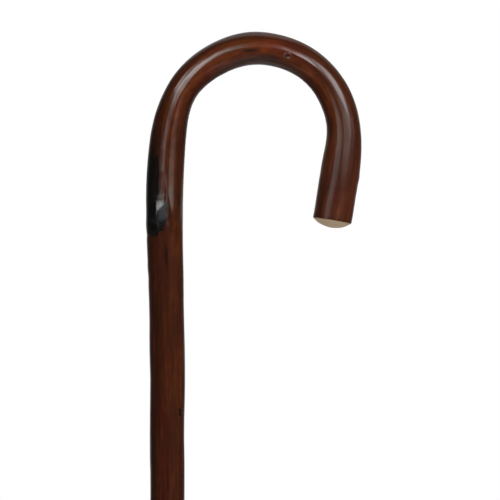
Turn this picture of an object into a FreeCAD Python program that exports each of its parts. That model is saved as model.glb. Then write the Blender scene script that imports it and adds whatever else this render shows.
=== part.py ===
"""Crook-handled walking cane, 914 mm tall: one bent hardwood stick, a push-on rubber ferrule and the
steel washer in the ferrule's socket. Units are millimetres. The origin is the centre of the ferrule's
underside, +Z runs up the shaft, +X points from the shaft towards the free end (nose) of the crook, and
the crook lies in the XZ plane."""

import FreeCAD, Part
import math
import os

V = FreeCAD.Vector

# ---- ferrule ----
FERRULE_HEIGHT = 42.0
SOCKET_DIA = 19.0
SOCKET_FLOOR_Z = 10.0
FOOT_DIA = 35.6
WAIST_DIA = 26.4
COLLAR_DIA = 28.2
WAIST_Z = 14.5              # foot of the straight waist
RINGS_Z = 17.0              # foot of the lowest groove
RING_COUNT = 3              # groove and ring pairs round the waist
RING_PITCH = 4.0            # half of it groove, half of it ring
GROOVE_DEPTH = 0.75
RING_HEIGHT = 0.28          # how far a ring stands out from the waist
UPPER_WAIST_LENGTH = 3.6    # from the last ring to the collar
TREAD_DEPTH = 2.2
TREAD_RINGS = [(10.6, 12.6), (5.0, 7.0)]    # inner and outer radius of each circular groove
TREAD_SLOTS = 12
SLOT_WIDTH = 1.8
SLOT_START_R = 12.0         # inside the outer circular groove
SLOT_LENGTH = 8.0           # runs out through the foot wall

# ---- washer, lying on the socket floor ----
WASHER_DIA = SOCKET_DIA - 0.4
WASHER_HOLE_DIA = 5.0
WASHER_THICKNESS = 1.5
WASHER_EDGE_FILLET = 0.25

# ---- stick ----
# Centreline of the natural stick, from the shoulder up the shaft, round the crook and down past the
# nose's rim: (x, y, z, diameter in the crook's plane, diameter across it). Bending thins the wood in the
# plane of the bend and leaves it wider across, so the crook is slightly oval.
STATIONS = [
    (0.00, 0.00, 42.6, 19.5, 19.5), (0.05, -0.10, 75.0, 19.6, 19.6),
    (0.45, 0.10, 120.0, 19.6, 19.7), (0.90, 0.60, 180.0, 19.8, 19.8),
    (0.85, 0.95, 245.0, 19.9, 19.9), (0.30, 0.80, 310.0, 20.1, 20.0),
    (-0.35, 0.20, 380.0, 20.2, 20.2), (-0.60, -0.50, 450.0, 20.3, 20.3),
    (-0.35, -0.85, 520.0, 20.4, 20.5), (-0.05, -0.70, 590.0, 20.6, 20.6),
    (0.00, -0.45, 642.2, 20.65, 20.7), (-0.12, -0.25, 661.4, 20.8, 20.8),
    (-0.08, -0.10, 681.4, 20.7, 20.8), (-0.03, 0.00, 701.4, 20.85, 20.9),
    (-0.09, 0.10, 721.4, 20.95, 21.0), (-0.28, 0.20, 741.4, 20.95, 21.0),
    (-0.84, 0.25, 761.4, 21.25, 21.2), (-1.38, 0.20, 781.4, 21.5, 21.5),
    (-1.66, 0.10, 801.4, 21.9, 21.9), (-1.42, 0.00, 821.4, 22.3, 22.3),
    (-0.44, 0.00, 841.4, 22.0, 22.4), (0.58, 0.00, 851.3, 21.35, 22.3),
    (2.24, 0.00, 861.2, 20.35, 22.0), (5.08, 0.00, 870.8, 19.25, 21.6),
    (9.45, 0.00, 879.7, 18.7, 21.3), (15.72, 0.00, 887.5, 18.8, 21.1),
    (23.29, 0.00, 894.0, 19.2, 21.1), (31.90, 0.00, 899.05, 19.6, 21.1),
    (41.30, 0.00, 902.5, 19.85, 21.1), (51.10, 0.00, 904.1, 19.8, 21.1),
    (61.06, 0.00, 903.65, 19.6, 21.1), (70.79, 0.00, 901.35, 19.45, 21.1),
    (79.93, 0.00, 897.3, 19.4, 21.1), (88.10, 0.00, 891.6, 19.4, 21.2),
    (94.97, 0.00, 884.35, 19.4, 21.3), (100.20, 0.00, 875.85, 19.55, 21.5),
    (103.75, 0.00, 866.6, 19.8, 21.8), (105.60, 0.00, 856.8, 20.45, 22.2),
    (105.65, 0.00, 846.8, 21.8, 22.8), (104.60, 0.00, 836.9, 23.05, 23.4),
    (103.25, 0.00, 827.0, 23.55, 23.7), (101.60, 0.00, 817.1, 23.55, 23.7),
    (99.90, 0.00, 807.2, 23.45, 23.6), (98.85, 0.00, 801.0, 23.4, 23.5),
    (97.60, 0.00, 793.5, 23.35, 23.4),
]

# Growth nodes, gentle swellings all round the shaft: (z, extra radius, half length)
NODES = [
    (92.0, 0.35, 9.0), (168.0, 0.45, 11.0), (262.0, 0.40, 9.0), (347.0, 0.50, 12.0),
    (438.0, 0.40, 10.0), (521.0, 0.45, 11.0), (604.0, 0.30, 9.0),
]
# Trimmed branch knots, raised pads on one side: (z, angle, extra radius, half length, half width).
# Angle 0 is the side away from the nose and 90 is the -Y side.
KNOTS = [
    (168.0, 205.0, 0.9, 10.0, 7.0), (347.0, 60.0, 1.0, 11.0, 7.5),
    (521.0, 290.0, 0.9, 10.0, 7.0), (811.0, 52.0, 0.7, 17.0, 9.0),
]
KNOT_REACH = 4.0            # a knot is ignored beyond this many half lengths
SHAFT_END_MARGIN = 60.0     # nodes and knots stop this far along the stick before the crook's top

SECTION_POINTS = 24
SECTION_STEP = 9.0          # nominal spacing of the loft's sections along the centreline

NOSE_RIM_Z = 801.0          # centreline height of the nose's rim
NOSE_SAG = 4.4              # height of the rounded end beyond its rim
NOSE_RIM_FILLET = 0.45
TRIM_BLOCK_R = 40.0
TRIM_BLOCK_LENGTH = 30.0
TRIM_BLOCK_LEAD = 2.0       # the block starts this far before the rim, inside the ball

# Lower end, turned down to fit the ferrule
SHOULDER_Z = STATIONS[0][2]
SEAT_DIA = SOCKET_DIA - 0.1
SEAT_BOTTOM_Z = SOCKET_FLOOR_Z + WASHER_THICKNESS + 0.1
SEAT_CHAMFER = 1.0
SEAT_OVERLAP = 0.4          # how far the seat reaches into the natural stick


def interpolate_stations():
    """The centreline, the two diameters (as y and z of a second spline) and their shared parameters."""
    points = [V(*station[:3]) for station in STATIONS]
    params = [0.0]
    for start, end in zip(points, points[1:]):
        params.append(params[-1] + (end - start).Length)
    line = Part.BSplineCurve()
    line.interpolate(Points=points, Parameters=params)
    diameters = Part.BSplineCurve()
    diameters.interpolate(Points=[V(u, station[3], station[4])
                                  for u, station in zip(params, STATIONS)],
                          Parameters=params)
    return line, diameters, params


def local_frame(line, u):
    """Point, tangent, normal towards the outside of the bend and normal towards -Y on the shaft."""
    tangent = line.tangent(u)[0]
    tangent.normalize()
    outward = tangent.cross(V(0, 1, 0))
    outward.normalize()
    side = tangent.cross(outward)
    side.normalize()
    return line.value(u), tangent, outward, side


def swelling(z, angle, radius_in_plane):
    """Extra radius of the shaft from its nodes and knots."""
    extra = 0.0
    for node_z, height, half_length in NODES:
        extra += height * math.exp(-(((z - node_z) / half_length) ** 2))
    for knot_z, degrees, height, half_length, half_width in KNOTS:
        if abs(z - knot_z) < KNOT_REACH * half_length:
            # signed angle from the knot's centre, within half a turn
            turn = (angle - math.radians(degrees) + math.pi) % (2 * math.pi) - math.pi
            extra += height * math.exp(-(((z - knot_z) / half_length) ** 2)
                                       - ((turn * radius_in_plane / half_width) ** 2))
    return extra


def section(line, diameters, u, on_shaft):
    """Closed oval wire across the stick at parameter u."""
    centre, _, outward, side = local_frame(line, u)
    size = diameters.value(u)
    in_plane, across = size.y / 2.0, size.z / 2.0
    ring = []
    for k in range(SECTION_POINTS):
        angle = 2 * math.pi * k / SECTION_POINTS
        cos, sin = math.cos(angle), math.sin(angle)
        radius = in_plane * across / math.hypot(across * cos, in_plane * sin)
        if on_shaft:
            radius += swelling(centre.z, angle, in_plane)
        ring.append(centre + outward * (radius * cos) + side * (radius * sin))
    # the same parameters on every section keep the loft's surface light
    curve = Part.BSplineCurve()
    curve.interpolate(Points=ring, PeriodicFlag=True,
                      Parameters=[float(k) for k in range(SECTION_POINTS + 1)])
    return Part.Wire([curve.toShape()])


def param_at_height(line, z, above, below):
    """Bisect for the parameter where the centreline comes down through height z."""
    for _ in range(60):
        middle = (above + below) / 2
        if line.value(middle).z > z:
            above = middle
        else:
            below = middle
    return above


def round_nose(body, line, diameters, u_rim):
    """Trim what lies past the rim to a sphere, then soften the rim."""
    rim, tangent, _, _ = local_frame(line, u_rim)
    rim_r = diameters.value(u_rim).y / 2.0
    ball_r = (rim_r ** 2 + NOSE_SAG ** 2) / (2 * NOSE_SAG)
    ball = Part.makeSphere(ball_r, rim + tangent * (NOSE_SAG - ball_r))
    block = Part.makeCylinder(TRIM_BLOCK_R, TRIM_BLOCK_LENGTH, rim - tangent * TRIM_BLOCK_LEAD, tangent)
    body = body.cut(block.cut(ball))
    # the fillet may fail on the lofted surface; the rim then stays sharp
    try:
        rim_edges = [e for e in body.Edges
                     if e.Length > 60 and (e.CenterOfMass - rim).Length < 3.0]
        rounded = body.makeFillet(NOSE_RIM_FILLET, rim_edges)
        if rounded.isValid() and rounded.Volume > 0.99 * body.Volume:
            body = rounded
    except Exception:
        pass
    return body


def make_seat():
    """Turned lower end that fits the ferrule's socket."""
    seat = Part.makeCylinder(SEAT_DIA / 2.0, SHOULDER_Z - SEAT_BOTTOM_Z + SEAT_OVERLAP,
                             V(0, 0, SEAT_BOTTOM_Z))
    bottom_edges = [e for e in seat.Edges
                    if isinstance(e.Curve, Part.Circle)
                    and abs(e.CenterOfMass.z - SEAT_BOTTOM_Z) < 1e-6]
    return seat.makeChamfer(SEAT_CHAMFER, bottom_edges)


def make_stick():
    line, diameters, params = interpolate_stations()
    u_top = params[max(range(len(STATIONS)), key=lambda i: STATIONS[i][2])]
    u_end = params[-1]
    spans = int(round(u_end / SECTION_STEP))
    wires = []
    for i in range(spans + 1):
        u = u_end * i / spans
        wires.append(section(line, diameters, u, on_shaft=u < u_top - SHAFT_END_MARGIN))
    body = Part.makeLoft(wires, True, False)
    u_rim = param_at_height(line, NOSE_RIM_Z, above=u_top, below=u_end)
    body = round_nose(body, line, diameters, u_rim)
    return body.fuse(make_seat()).removeSplitter()


def profile_face(start, steps):
    """Face in the XZ plane. A step is [end] for a line or [middle, end] for an arc, as (radius, z)."""
    edges = []
    for step in steps:
        points = [V(r, 0, z) for r, z in [start, *step]]
        curve = Part.Arc(*points) if len(step) == 2 else Part.LineSegment(*points)
        edges.append(curve.toShape())
        start = step[-1]
    return Part.Face(Part.Wire(Part.__sortEdges__(edges)))


def ferrule_profile():
    foot, waist, collar = FOOT_DIA / 2.0, WAIST_DIA / 2.0, COLLAR_DIA / 2.0
    socket = SOCKET_DIA / 2.0
    top = FERRULE_HEIGHT
    steps = [
        [(foot - 1.5, 0.0)],                                    # underside
        [(foot - 0.44, 0.44), (foot, 1.5)],                     # rounded foot edge
        [(foot - 0.15, 4.6)],                                   # foot wall
        [(foot - 0.62, 5.5), (foot - 1.6, 5.9)],                # shoulder of the foot
        [(waist + 0.95, 9.0), (waist, WAIST_Z)],                # concave flare
        [(waist, RINGS_Z)],                                     # lower waist
    ]
    for k in range(RING_COUNT):     # grooves between soft rings, which let the sleeve flex
        z = RINGS_Z + k * RING_PITCH
        middle_z = z + RING_PITCH / 2
        steps.append([(waist - GROOVE_DEPTH, z + RING_PITCH / 4), (waist, middle_z)])
        steps.append([(waist + RING_HEIGHT, middle_z + RING_PITCH / 4), (waist, z + RING_PITCH)])
    z = RINGS_Z + RING_COUNT * RING_PITCH + UPPER_WAIST_LENGTH
    steps += [
        [(waist - 0.05, z)],                                    # upper waist
        [(waist + 0.2, z + 0.75), (collar - 0.25, z + 1.1)],    # flare under the collar
        [(collar - 0.06, z + 1.25), (collar, z + 1.5)],         # collar's lower edge
        [(collar - 0.1, top - 1.4)],                            # collar wall
        [(collar - 0.5, top - 0.4), (collar - 1.5, top)],       # rounded lip
        [(socket + 0.8, top)],                                  # top land
        [(socket, top - 0.9)],                                  # socket's mouth chamfer
        [(socket, SOCKET_FLOOR_Z)],                             # socket wall
        [(0.0, SOCKET_FLOOR_Z)],                                # socket floor
        [(0.0, 0.0)],                                           # axis
    ]
    return profile_face((0.0, 0.0), steps)


def make_ferrule():
    body = ferrule_profile().revolve(V(0, 0, 0), V(0, 0, 1), 360)
    for inner_r, outer_r in TREAD_RINGS:
        groove = Part.makeCylinder(outer_r, TREAD_DEPTH).cut(Part.makeCylinder(inner_r, TREAD_DEPTH))
        body = body.cut(groove)
    for k in range(TREAD_SLOTS):
        slot = Part.makeBox(SLOT_LENGTH, SLOT_WIDTH, TREAD_DEPTH,
                            V(SLOT_START_R, -SLOT_WIDTH / 2.0, 0))
        slot.rotate(V(0, 0, 0), V(0, 0, 1), 360.0 * (k + 0.5) / TREAD_SLOTS)
        body = body.cut(slot)
    return body


def make_washer():
    radius = WASHER_DIA / 2.0
    base = V(0, 0, SOCKET_FLOOR_Z)
    disc = Part.makeCylinder(radius, WASHER_THICKNESS, base)
    disc = disc.cut(Part.makeCylinder(WASHER_HOLE_DIA / 2.0, WASHER_THICKNESS, base))
    outer_edges = [e for e in disc.Edges
                   if isinstance(e.Curve, Part.Circle) and abs(e.Curve.Radius - radius) < 1e-6]
    return disc.makeFillet(WASHER_EDGE_FILLET, outer_edges)


def save(name, shape):
    solids = shape.Solids
    assert solids and all(s.isValid() and s.Volume > 0 for s in solids), name
    piece = solids[0] if len(solids) == 1 else Part.makeCompound(solids)
    piece.exportStep(os.path.join("parts", name + ".step"))


os.makedirs("parts", exist_ok=True)
save("stick", make_stick())
save("ferrule", make_ferrule())
save("ferrule_washer", make_washer())
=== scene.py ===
# A crook-handled walking stick of stained and varnished wood, with a rubber ferrule and a washer.
# The shaft stands along +Z, with the ferrule at its foot near the origin. The crook bends over
# towards +X and ends in a nose that points down. The camera looks along +Y, at the -Y side.
import math

import bpy
import numpy as np
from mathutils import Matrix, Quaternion, Vector
from mathutils.bvhtree import BVHTree


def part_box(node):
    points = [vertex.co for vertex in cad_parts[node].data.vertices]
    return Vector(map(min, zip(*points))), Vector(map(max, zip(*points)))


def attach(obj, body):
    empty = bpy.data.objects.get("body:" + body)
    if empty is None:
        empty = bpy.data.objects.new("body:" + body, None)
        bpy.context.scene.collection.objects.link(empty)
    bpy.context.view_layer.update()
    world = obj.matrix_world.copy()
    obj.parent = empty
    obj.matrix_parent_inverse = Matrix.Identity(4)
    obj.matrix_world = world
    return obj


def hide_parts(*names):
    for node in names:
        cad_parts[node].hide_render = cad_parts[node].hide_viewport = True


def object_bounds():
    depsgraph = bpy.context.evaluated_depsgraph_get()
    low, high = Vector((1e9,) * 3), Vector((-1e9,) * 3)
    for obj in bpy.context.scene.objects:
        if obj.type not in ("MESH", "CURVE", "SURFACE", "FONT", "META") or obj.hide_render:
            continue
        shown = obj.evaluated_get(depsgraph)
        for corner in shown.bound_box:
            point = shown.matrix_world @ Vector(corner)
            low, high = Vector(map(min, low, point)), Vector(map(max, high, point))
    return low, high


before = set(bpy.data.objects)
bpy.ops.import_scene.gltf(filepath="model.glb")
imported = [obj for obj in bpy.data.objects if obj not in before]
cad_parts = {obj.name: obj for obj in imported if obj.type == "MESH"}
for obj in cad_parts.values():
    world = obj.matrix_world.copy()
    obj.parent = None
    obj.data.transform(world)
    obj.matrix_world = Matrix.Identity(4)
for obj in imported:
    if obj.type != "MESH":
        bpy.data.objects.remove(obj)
cad_low, cad_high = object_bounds()
MM = 0.001
TAU = 2 * math.pi

# ==================================================================================================
# Sizes of the stick, in millimetres. "Length" runs along the centreline from the ferrule's shoulder.
# The angle round the stick is in degrees: 0 is the outer side of the bend, away from the nose,
# 90 is the -Y side and 180 is inside the crook.
# ==================================================================================================

# Centreline x, y, z, then the thickness in the plane of the bend and across it (Y).
STATIONS = np.array([
    (0.00, 0.00, 42.6, 19.5, 19.5), (0.05, -0.10, 75.0, 19.6, 19.6),
    (0.45, 0.10, 120.0, 19.6, 19.7), (0.90, 0.60, 180.0, 19.8, 19.8),
    (0.85, 0.95, 245.0, 19.9, 19.9), (0.30, 0.80, 310.0, 20.1, 20.0),
    (-0.35, 0.20, 380.0, 20.2, 20.2), (-0.60, -0.50, 450.0, 20.3, 20.3),
    (-0.35, -0.85, 520.0, 20.4, 20.5), (-0.05, -0.70, 590.0, 20.6, 20.6),
    (0.00, -0.45, 642.2, 20.65, 20.7), (-0.12, -0.25, 661.4, 20.8, 20.8),
    (-0.08, -0.10, 681.4, 20.7, 20.8), (-0.03, 0.00, 701.4, 20.85, 20.9),
    (-0.09, 0.10, 721.4, 20.95, 21.0), (-0.28, 0.20, 741.4, 20.95, 21.0),
    (-0.84, 0.25, 761.4, 21.25, 21.2), (-1.38, 0.20, 781.4, 21.5, 21.5),
    (-1.66, 0.10, 801.4, 21.9, 21.9), (-1.42, 0.00, 821.4, 22.3, 22.3),
    (-0.44, 0.00, 841.4, 22.0, 22.4), (0.58, 0.00, 851.3, 21.35, 22.3),
    (2.24, 0.00, 861.2, 20.35, 22.0), (5.08, 0.00, 870.8, 19.25, 21.6),
    (9.45, 0.00, 879.7, 18.7, 21.3), (15.72, 0.00, 887.5, 18.8, 21.1),
    (23.29, 0.00, 894.0, 19.2, 21.1), (31.90, 0.00, 899.05, 19.6, 21.1),
    (41.30, 0.00, 902.5, 19.85, 21.1), (51.10, 0.00, 904.1, 19.8, 21.1),
    (61.06, 0.00, 903.65, 19.6, 21.1), (70.79, 0.00, 901.35, 19.45, 21.1),
    (79.93, 0.00, 897.3, 19.4, 21.1), (88.10, 0.00, 891.6, 19.4, 21.2),
    (94.97, 0.00, 884.35, 19.4, 21.3), (100.20, 0.00, 875.85, 19.55, 21.5),
    (103.75, 0.00, 866.6, 19.8, 21.8), (105.60, 0.00, 856.8, 20.45, 22.2),
    (105.65, 0.00, 846.8, 21.8, 22.8), (104.60, 0.00, 836.9, 23.05, 23.4),
    (103.25, 0.00, 827.0, 23.55, 23.7), (101.60, 0.00, 817.1, 23.55, 23.7),
    (99.90, 0.00, 807.2, 23.45, 23.6), (98.85, 0.00, 801.0, 23.4, 23.5),
    (97.60, 0.00, 793.5, 23.35, 23.4),
])
RISING_STATIONS = 20                     # the first ones, whose heights only increase
NOSE_RIM_Z = 801.0
NOSE_SAG = 4.4                           # how far the rounded end stands out of its rim
SEAT_RADIUS = 9.45                       # the turned seat that enters the ferrule
SEAT_BOTTOM = 11.6
SEAT_CHAMFER = 1.0
SHOULDER = 42.6

# Growth nodes of the shaft: height, swelling, half length.
NODES = [
    (92.0, 0.35, 9.0), (168.0, 0.45, 11.0), (262.0, 0.40, 9.0), (347.0, 0.50, 12.0),
    (438.0, 0.40, 10.0), (521.0, 0.45, 11.0), (604.0, 0.30, 9.0),
]
# Knots: height, angle, swelling, half length, half width.
SHAFT_KNOTS = [
    (168.0, 205.0, 0.9, 10.0, 7.0), (347.0, 60.0, 1.0, 11.0, 7.5), (521.0, 290.0, 0.9, 10.0, 7.0),
]
NECK_KNOT = (811.0, 52.0, 0.7, 17.0, 9.0)
# Small marks: height, angle, half length, half width, depth of the pit, darkness.
MARKS = [
    (781.4, 97, 1.5, 1.0, 0.02, 0.50), (686.4, 138, 2.6, 1.0, 0.05, 0.80),
    (658.6, 14, 1.3, 1.2, 0.30, 1.0), (664.5, 18, 1.0, 0.9, 0.15, 0.8),
    (742.0, 250, 3.4, 2.2, 0.12, 0.9), (704.0, 305, 1.5, 1.3, 0.20, 1.0),
    (626.0, 96, 1.6, 1.4, 0.20, 1.0), (604.0, 118, 6.0, 3.4, 0.16, 0.9),
    (562.0, 40, 1.5, 1.2, 0.20, 1.0), (479.0, 150, 3.4, 2.2, 0.16, 0.9),
    (438.0, 235, 7.0, 4.0, 0.16, 0.95), (398.0, 322, 1.4, 1.2, 0.20, 1.0),
    (302.0, 110, 1.6, 1.3, 0.20, 1.0), (262.0, 12, 7.0, 4.0, 0.16, 0.95),
    (214.0, 262, 2.6, 1.8, 0.16, 0.9), (128.0, 88, 1.5, 1.3, 0.20, 1.0),
    (92.0, 330, 6.0, 3.8, 0.16, 0.95),
]
# The pin knot on the crook's arch, by length and angle.
PIN_AT = 910.7
PIN_ANGLE = 101.5

# The two pared faces of the neck knot: outward normal, a point on it, how softly it cuts,
# and 1 where the cut rises away from the face.
PARED = [
    ((-0.192, -0.932, 0.290), (-3.60, -12.92, 808.0), 0.03, 1),
    ((0.045, -0.998, 0.040), (-3.96, -12.84, 808.0), 0.006, 0),
]
# The crease between the neck knot and the outer edge: height, angle.
CREASE = np.array([
    (793.0, 57.0), (795.5, 52.0), (798.0, 46.0), (801.7, 38.5), (805.0, 44.0), (808.5, 52.0),
    (812.0, 60.0),
])
# Low steps of the outer side near the neck: rise, height, half length, angle they centre on,
# and the cosines off that angle where they begin and are full.
STEPS = [
    (-0.22, 792.4, 1.7, 30, 0.2, 0.9), (0.16, 798.5, 3.2, 15, 0.3, 0.9),
    (0.16, 773.5, 2.8, 5, 0.3, 0.95), (-0.10, 767.0, 2.6, 5, 0.3, 0.95),
]

# Radii at which angles are turned into distances round the stick.
KNOT_ARC = 10.2
KNOT_PAINT_ARC = 10.3
MARK_ARC = 10.4
NECK_ARC = 10.9

AROUND = 112                             # points in a ring
CHANNELS = ("char", "tone", "warm", "bare", "ash_and_reflection", "dull")
TONE = CHANNELS.index("tone")
BARE = CHANNELS.index("bare")


# ---- curves and falloffs -------------------------------------------------------------------------
def natural_spline(knots, rows):
    """A natural cubic spline through the rows, as a function of (place, whether its slope)."""
    count = len(knots)
    gap = np.diff(knots)
    system = np.zeros((count, count))
    target = np.zeros_like(rows)
    system[0, 0] = system[-1, -1] = 1
    for i in range(1, count - 1):
        system[i, i - 1:i + 2] = gap[i - 1], 2 * (gap[i - 1] + gap[i]), gap[i]
        target[i] = 6 * ((rows[i + 1] - rows[i]) / gap[i] - (rows[i] - rows[i - 1]) / gap[i - 1])
    bend = np.linalg.solve(system, target)

    def curve(place, slope=False):
        place = np.atleast_1d(np.asarray(place, float))
        i = np.clip(np.searchsorted(knots, place) - 1, 0, count - 2)
        after = (knots[i + 1] - place)[:, None]
        before = (place - knots[i])[:, None]
        span = gap[i][:, None]
        start = rows[i] / span - bend[i] * span / 6
        end = rows[i + 1] / span - bend[i + 1] * span / 6
        if slope:
            return (-bend[i] * after ** 2 / (2 * span) + bend[i + 1] * before ** 2 / (2 * span)
                    - start + end)
        return (bend[i] * after ** 3 / (6 * span) + bend[i + 1] * before ** 3 / (6 * span)
                + start * after + end * before)

    return curve


def ramp(value, start, end):
    """A smooth step from 0 at start to 1 at end; start may be the larger."""
    share = np.clip((value - start) / (end - start), 0, 1)
    return share * share * (3 - 2 * share)


def bell(offset, half, power=2):
    """1 at no offset, falling to 1/e at half; a higher power has a flatter top."""
    return np.exp(-((np.abs(offset) / half) ** power))


def turn(angle, degrees):
    """Angle in radians from a direction in degrees, from -pi to pi."""
    return (angle - math.radians(degrees) + math.pi) % TAU - math.pi


station_at = np.concatenate(
    [[0], np.cumsum(np.linalg.norm(np.diff(STATIONS[:, :3], axis=0), axis=1))])
centreline = natural_spline(station_at, STATIONS[:, :3])
girth = natural_spline(station_at, STATIONS[:, 3:])


def length_at_rim(start, end):
    """The length on the falling side of the crook where the centreline meets the nose's rim."""
    for _ in range(60):
        middle = (start + end) / 2
        if centreline(middle)[0, 2] > NOSE_RIM_Z:
            start = middle
        else:
            end = middle
    return start


TOP_AT = station_at[int(np.argmax(STATIONS[:, 2]))]
RIM_AT = length_at_rim(TOP_AT, station_at[-1])
SHAFT_END = TOP_AT - 60.0                # up to here heights place things, beyond it lengths do
FAR_BELOW = -1e6                         # a height that keeps the shaft's features off the crook


def cross_frames(lengths):
    """Centre, and the unit directions along, outward (angle 0) and to the -Y side (angle 90)."""
    centre = centreline(lengths)
    along = centreline(lengths, slope=True)
    along /= np.linalg.norm(along, axis=1)[:, None]
    outward = np.cross(along, (0.0, 1.0, 0.0))
    outward /= np.linalg.norm(outward, axis=1)[:, None]
    return centre, along, outward, np.cross(along, outward)


rng = np.random.default_rng(167)


def waves(count, longest, shortest, fewest_round, most_round):
    """A smooth random field over (length, angle), periodic round the stick, of spread about 1."""
    wavelength = np.exp(rng.uniform(math.log(shortest), math.log(longest), count))
    turns = rng.integers(fewest_round, most_round + 1, count) * rng.choice([-1, 1], count)
    phase = rng.uniform(0, TAU, count)

    def field(length, angle):
        total = np.zeros(np.broadcast(length, angle).shape)
        for i in range(count):
            total += np.cos(TAU * length / wavelength[i] + turns[i] * angle + phase[i])
        return total / math.sqrt(count / 2)

    return field


# The order of these calls sets their random draws.
unevenness = waves(22, 150, 28, 1, 4)    # slow swelling of a grown stick
ribs = waves(34, 260, 60, 9, 26)         # fibres standing a little proud
ripple = waves(26, 22, 7, 0, 5)
edge_wobble = waves(30, 30, 5, 1, 9)     # raggedness of the stain's edges
edge_fringe = waves(30, 60, 12, 8, 30)
broad_tone = waves(26, 320, 50, 1, 5)
streaky_tone = waves(40, 120, 16, 6, 22)
nose_wave = waves(18, 60, 30, 1, 5)

ring_turn = np.arange(AROUND) * TAU / AROUND
THETA = np.sort(np.mod(ring_turn + 0.33 * np.cos(ring_turn), TAU))  # closer on the -Y side


class Skin:
    """Where the points of the grown stick's rings lie."""

    def __init__(self, lengths):
        self.centre, self.along, self.outward, self.front = cross_frames(lengths)
        self.lengths = lengths
        self.length = lengths[:, None]
        self.height = np.where(self.length < SHAFT_END, self.centre[:, 2:], FAR_BELOW)
        self.angle = np.broadcast_to(THETA, (len(lengths), AROUND))
        self.degrees = self.degrees_off(0)

    def degrees_off(self, degrees):
        return np.degrees(turn(self.angle, degrees))

    def arc(self, degrees, radius):
        """Distance round the stick from an angle."""
        return turn(self.angle, degrees) * radius

    def facing(self, degrees):
        """Cosine of the angle off a direction."""
        return np.cos(turn(self.angle, degrees))


# ---- shape of the grown stick --------------------------------------------------------------------
def cad_radius(skin):
    """The radius of the CAD stick."""
    sizes = girth(skin.lengths)
    half_out, half_front = sizes[:, :1] / 2, sizes[:, 1:] / 2
    radius = half_out * half_front / np.hypot(half_front * np.cos(skin.angle),
                                              half_out * np.sin(skin.angle))
    for height, swelling, half in NODES:
        radius = radius + swelling * bell(skin.height - height, half)
    for height, degrees, swelling, half, wide in SHAFT_KNOTS + [NECK_KNOT]:
        radius = radius + (swelling * bell(skin.height - height, half)
                           * bell(skin.arc(degrees, half_out), wide))
    return radius


def neck_knot(skin, surface):
    """The neck knot's rise over the surface radius: a swelling pared by two strokes of the knife,
    which meet in a slanting ridge."""
    height = skin.height
    rise = height - 804.0
    belly = (0.80 * bell(rise, np.where(rise > 0, 20.0, 11.0))
             * bell(skin.arc(97.0, NECK_ARC), 11.5, power=4))
    across = skin.arc(82.5, NECK_ARC)
    up = height - 805.3 + 0.10 * np.clip(across, 0.0, 6.0)
    # longer above than below, and steeper on its outward side
    half_long = np.where(up > 0, 9.0 + 1.6 * ramp(across, 1.0, 5.0), 7.0)
    half_wide, steepness = np.where(across > 0, 11.0, 3.35), np.where(across > 0, 4, 6)
    pad = ((2.1 - 0.6 * ramp(across, 1.5, 5.5)) * bell(up, half_long)
           * bell(across, half_wide, steepness)) + belly
    swell = 1 - np.exp(-pad / 0.45)
    lift = 1.2 * ramp(across, 1.5, 2.9) + 0.014 * np.clip(height - 811.0, 0.0, 30.0) ** 2
    for normal, point, ease, lifted in PARED:
        normal = np.array(normal) / np.linalg.norm(normal)
        reach = ((np.array(point)[None] - skin.centre) @ normal)[:, None]
        facing = ((skin.outward @ normal)[:, None] * np.cos(skin.angle)
                  + (skin.front @ normal)[:, None] * np.sin(skin.angle))
        left = reach / np.maximum(facing, 0.5) - surface + lifted * lift
        # a rounded minimum of the swelling and what the cut leaves
        cut = 0.5 * (pad + left - np.sqrt((pad - left) ** 2 + ease))
        pad = np.where(facing > 0.5, cut, pad)
    # the cuts may sink at most this far below the surface
    deepest = 0.35
    eased = 0.5 * (pad + deepest + np.sqrt((pad + deepest) ** 2 + 0.07)) - deepest
    rise = np.where(np.abs(up) < 40, eased * swell, 0.0)
    # a thin welt down the pared side
    return rise + (0.10 * bell(across - 4.0, 1.25) * ramp(height, 798.0, 803.0)
                   * ramp(height, 822.0, 812.0))


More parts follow.
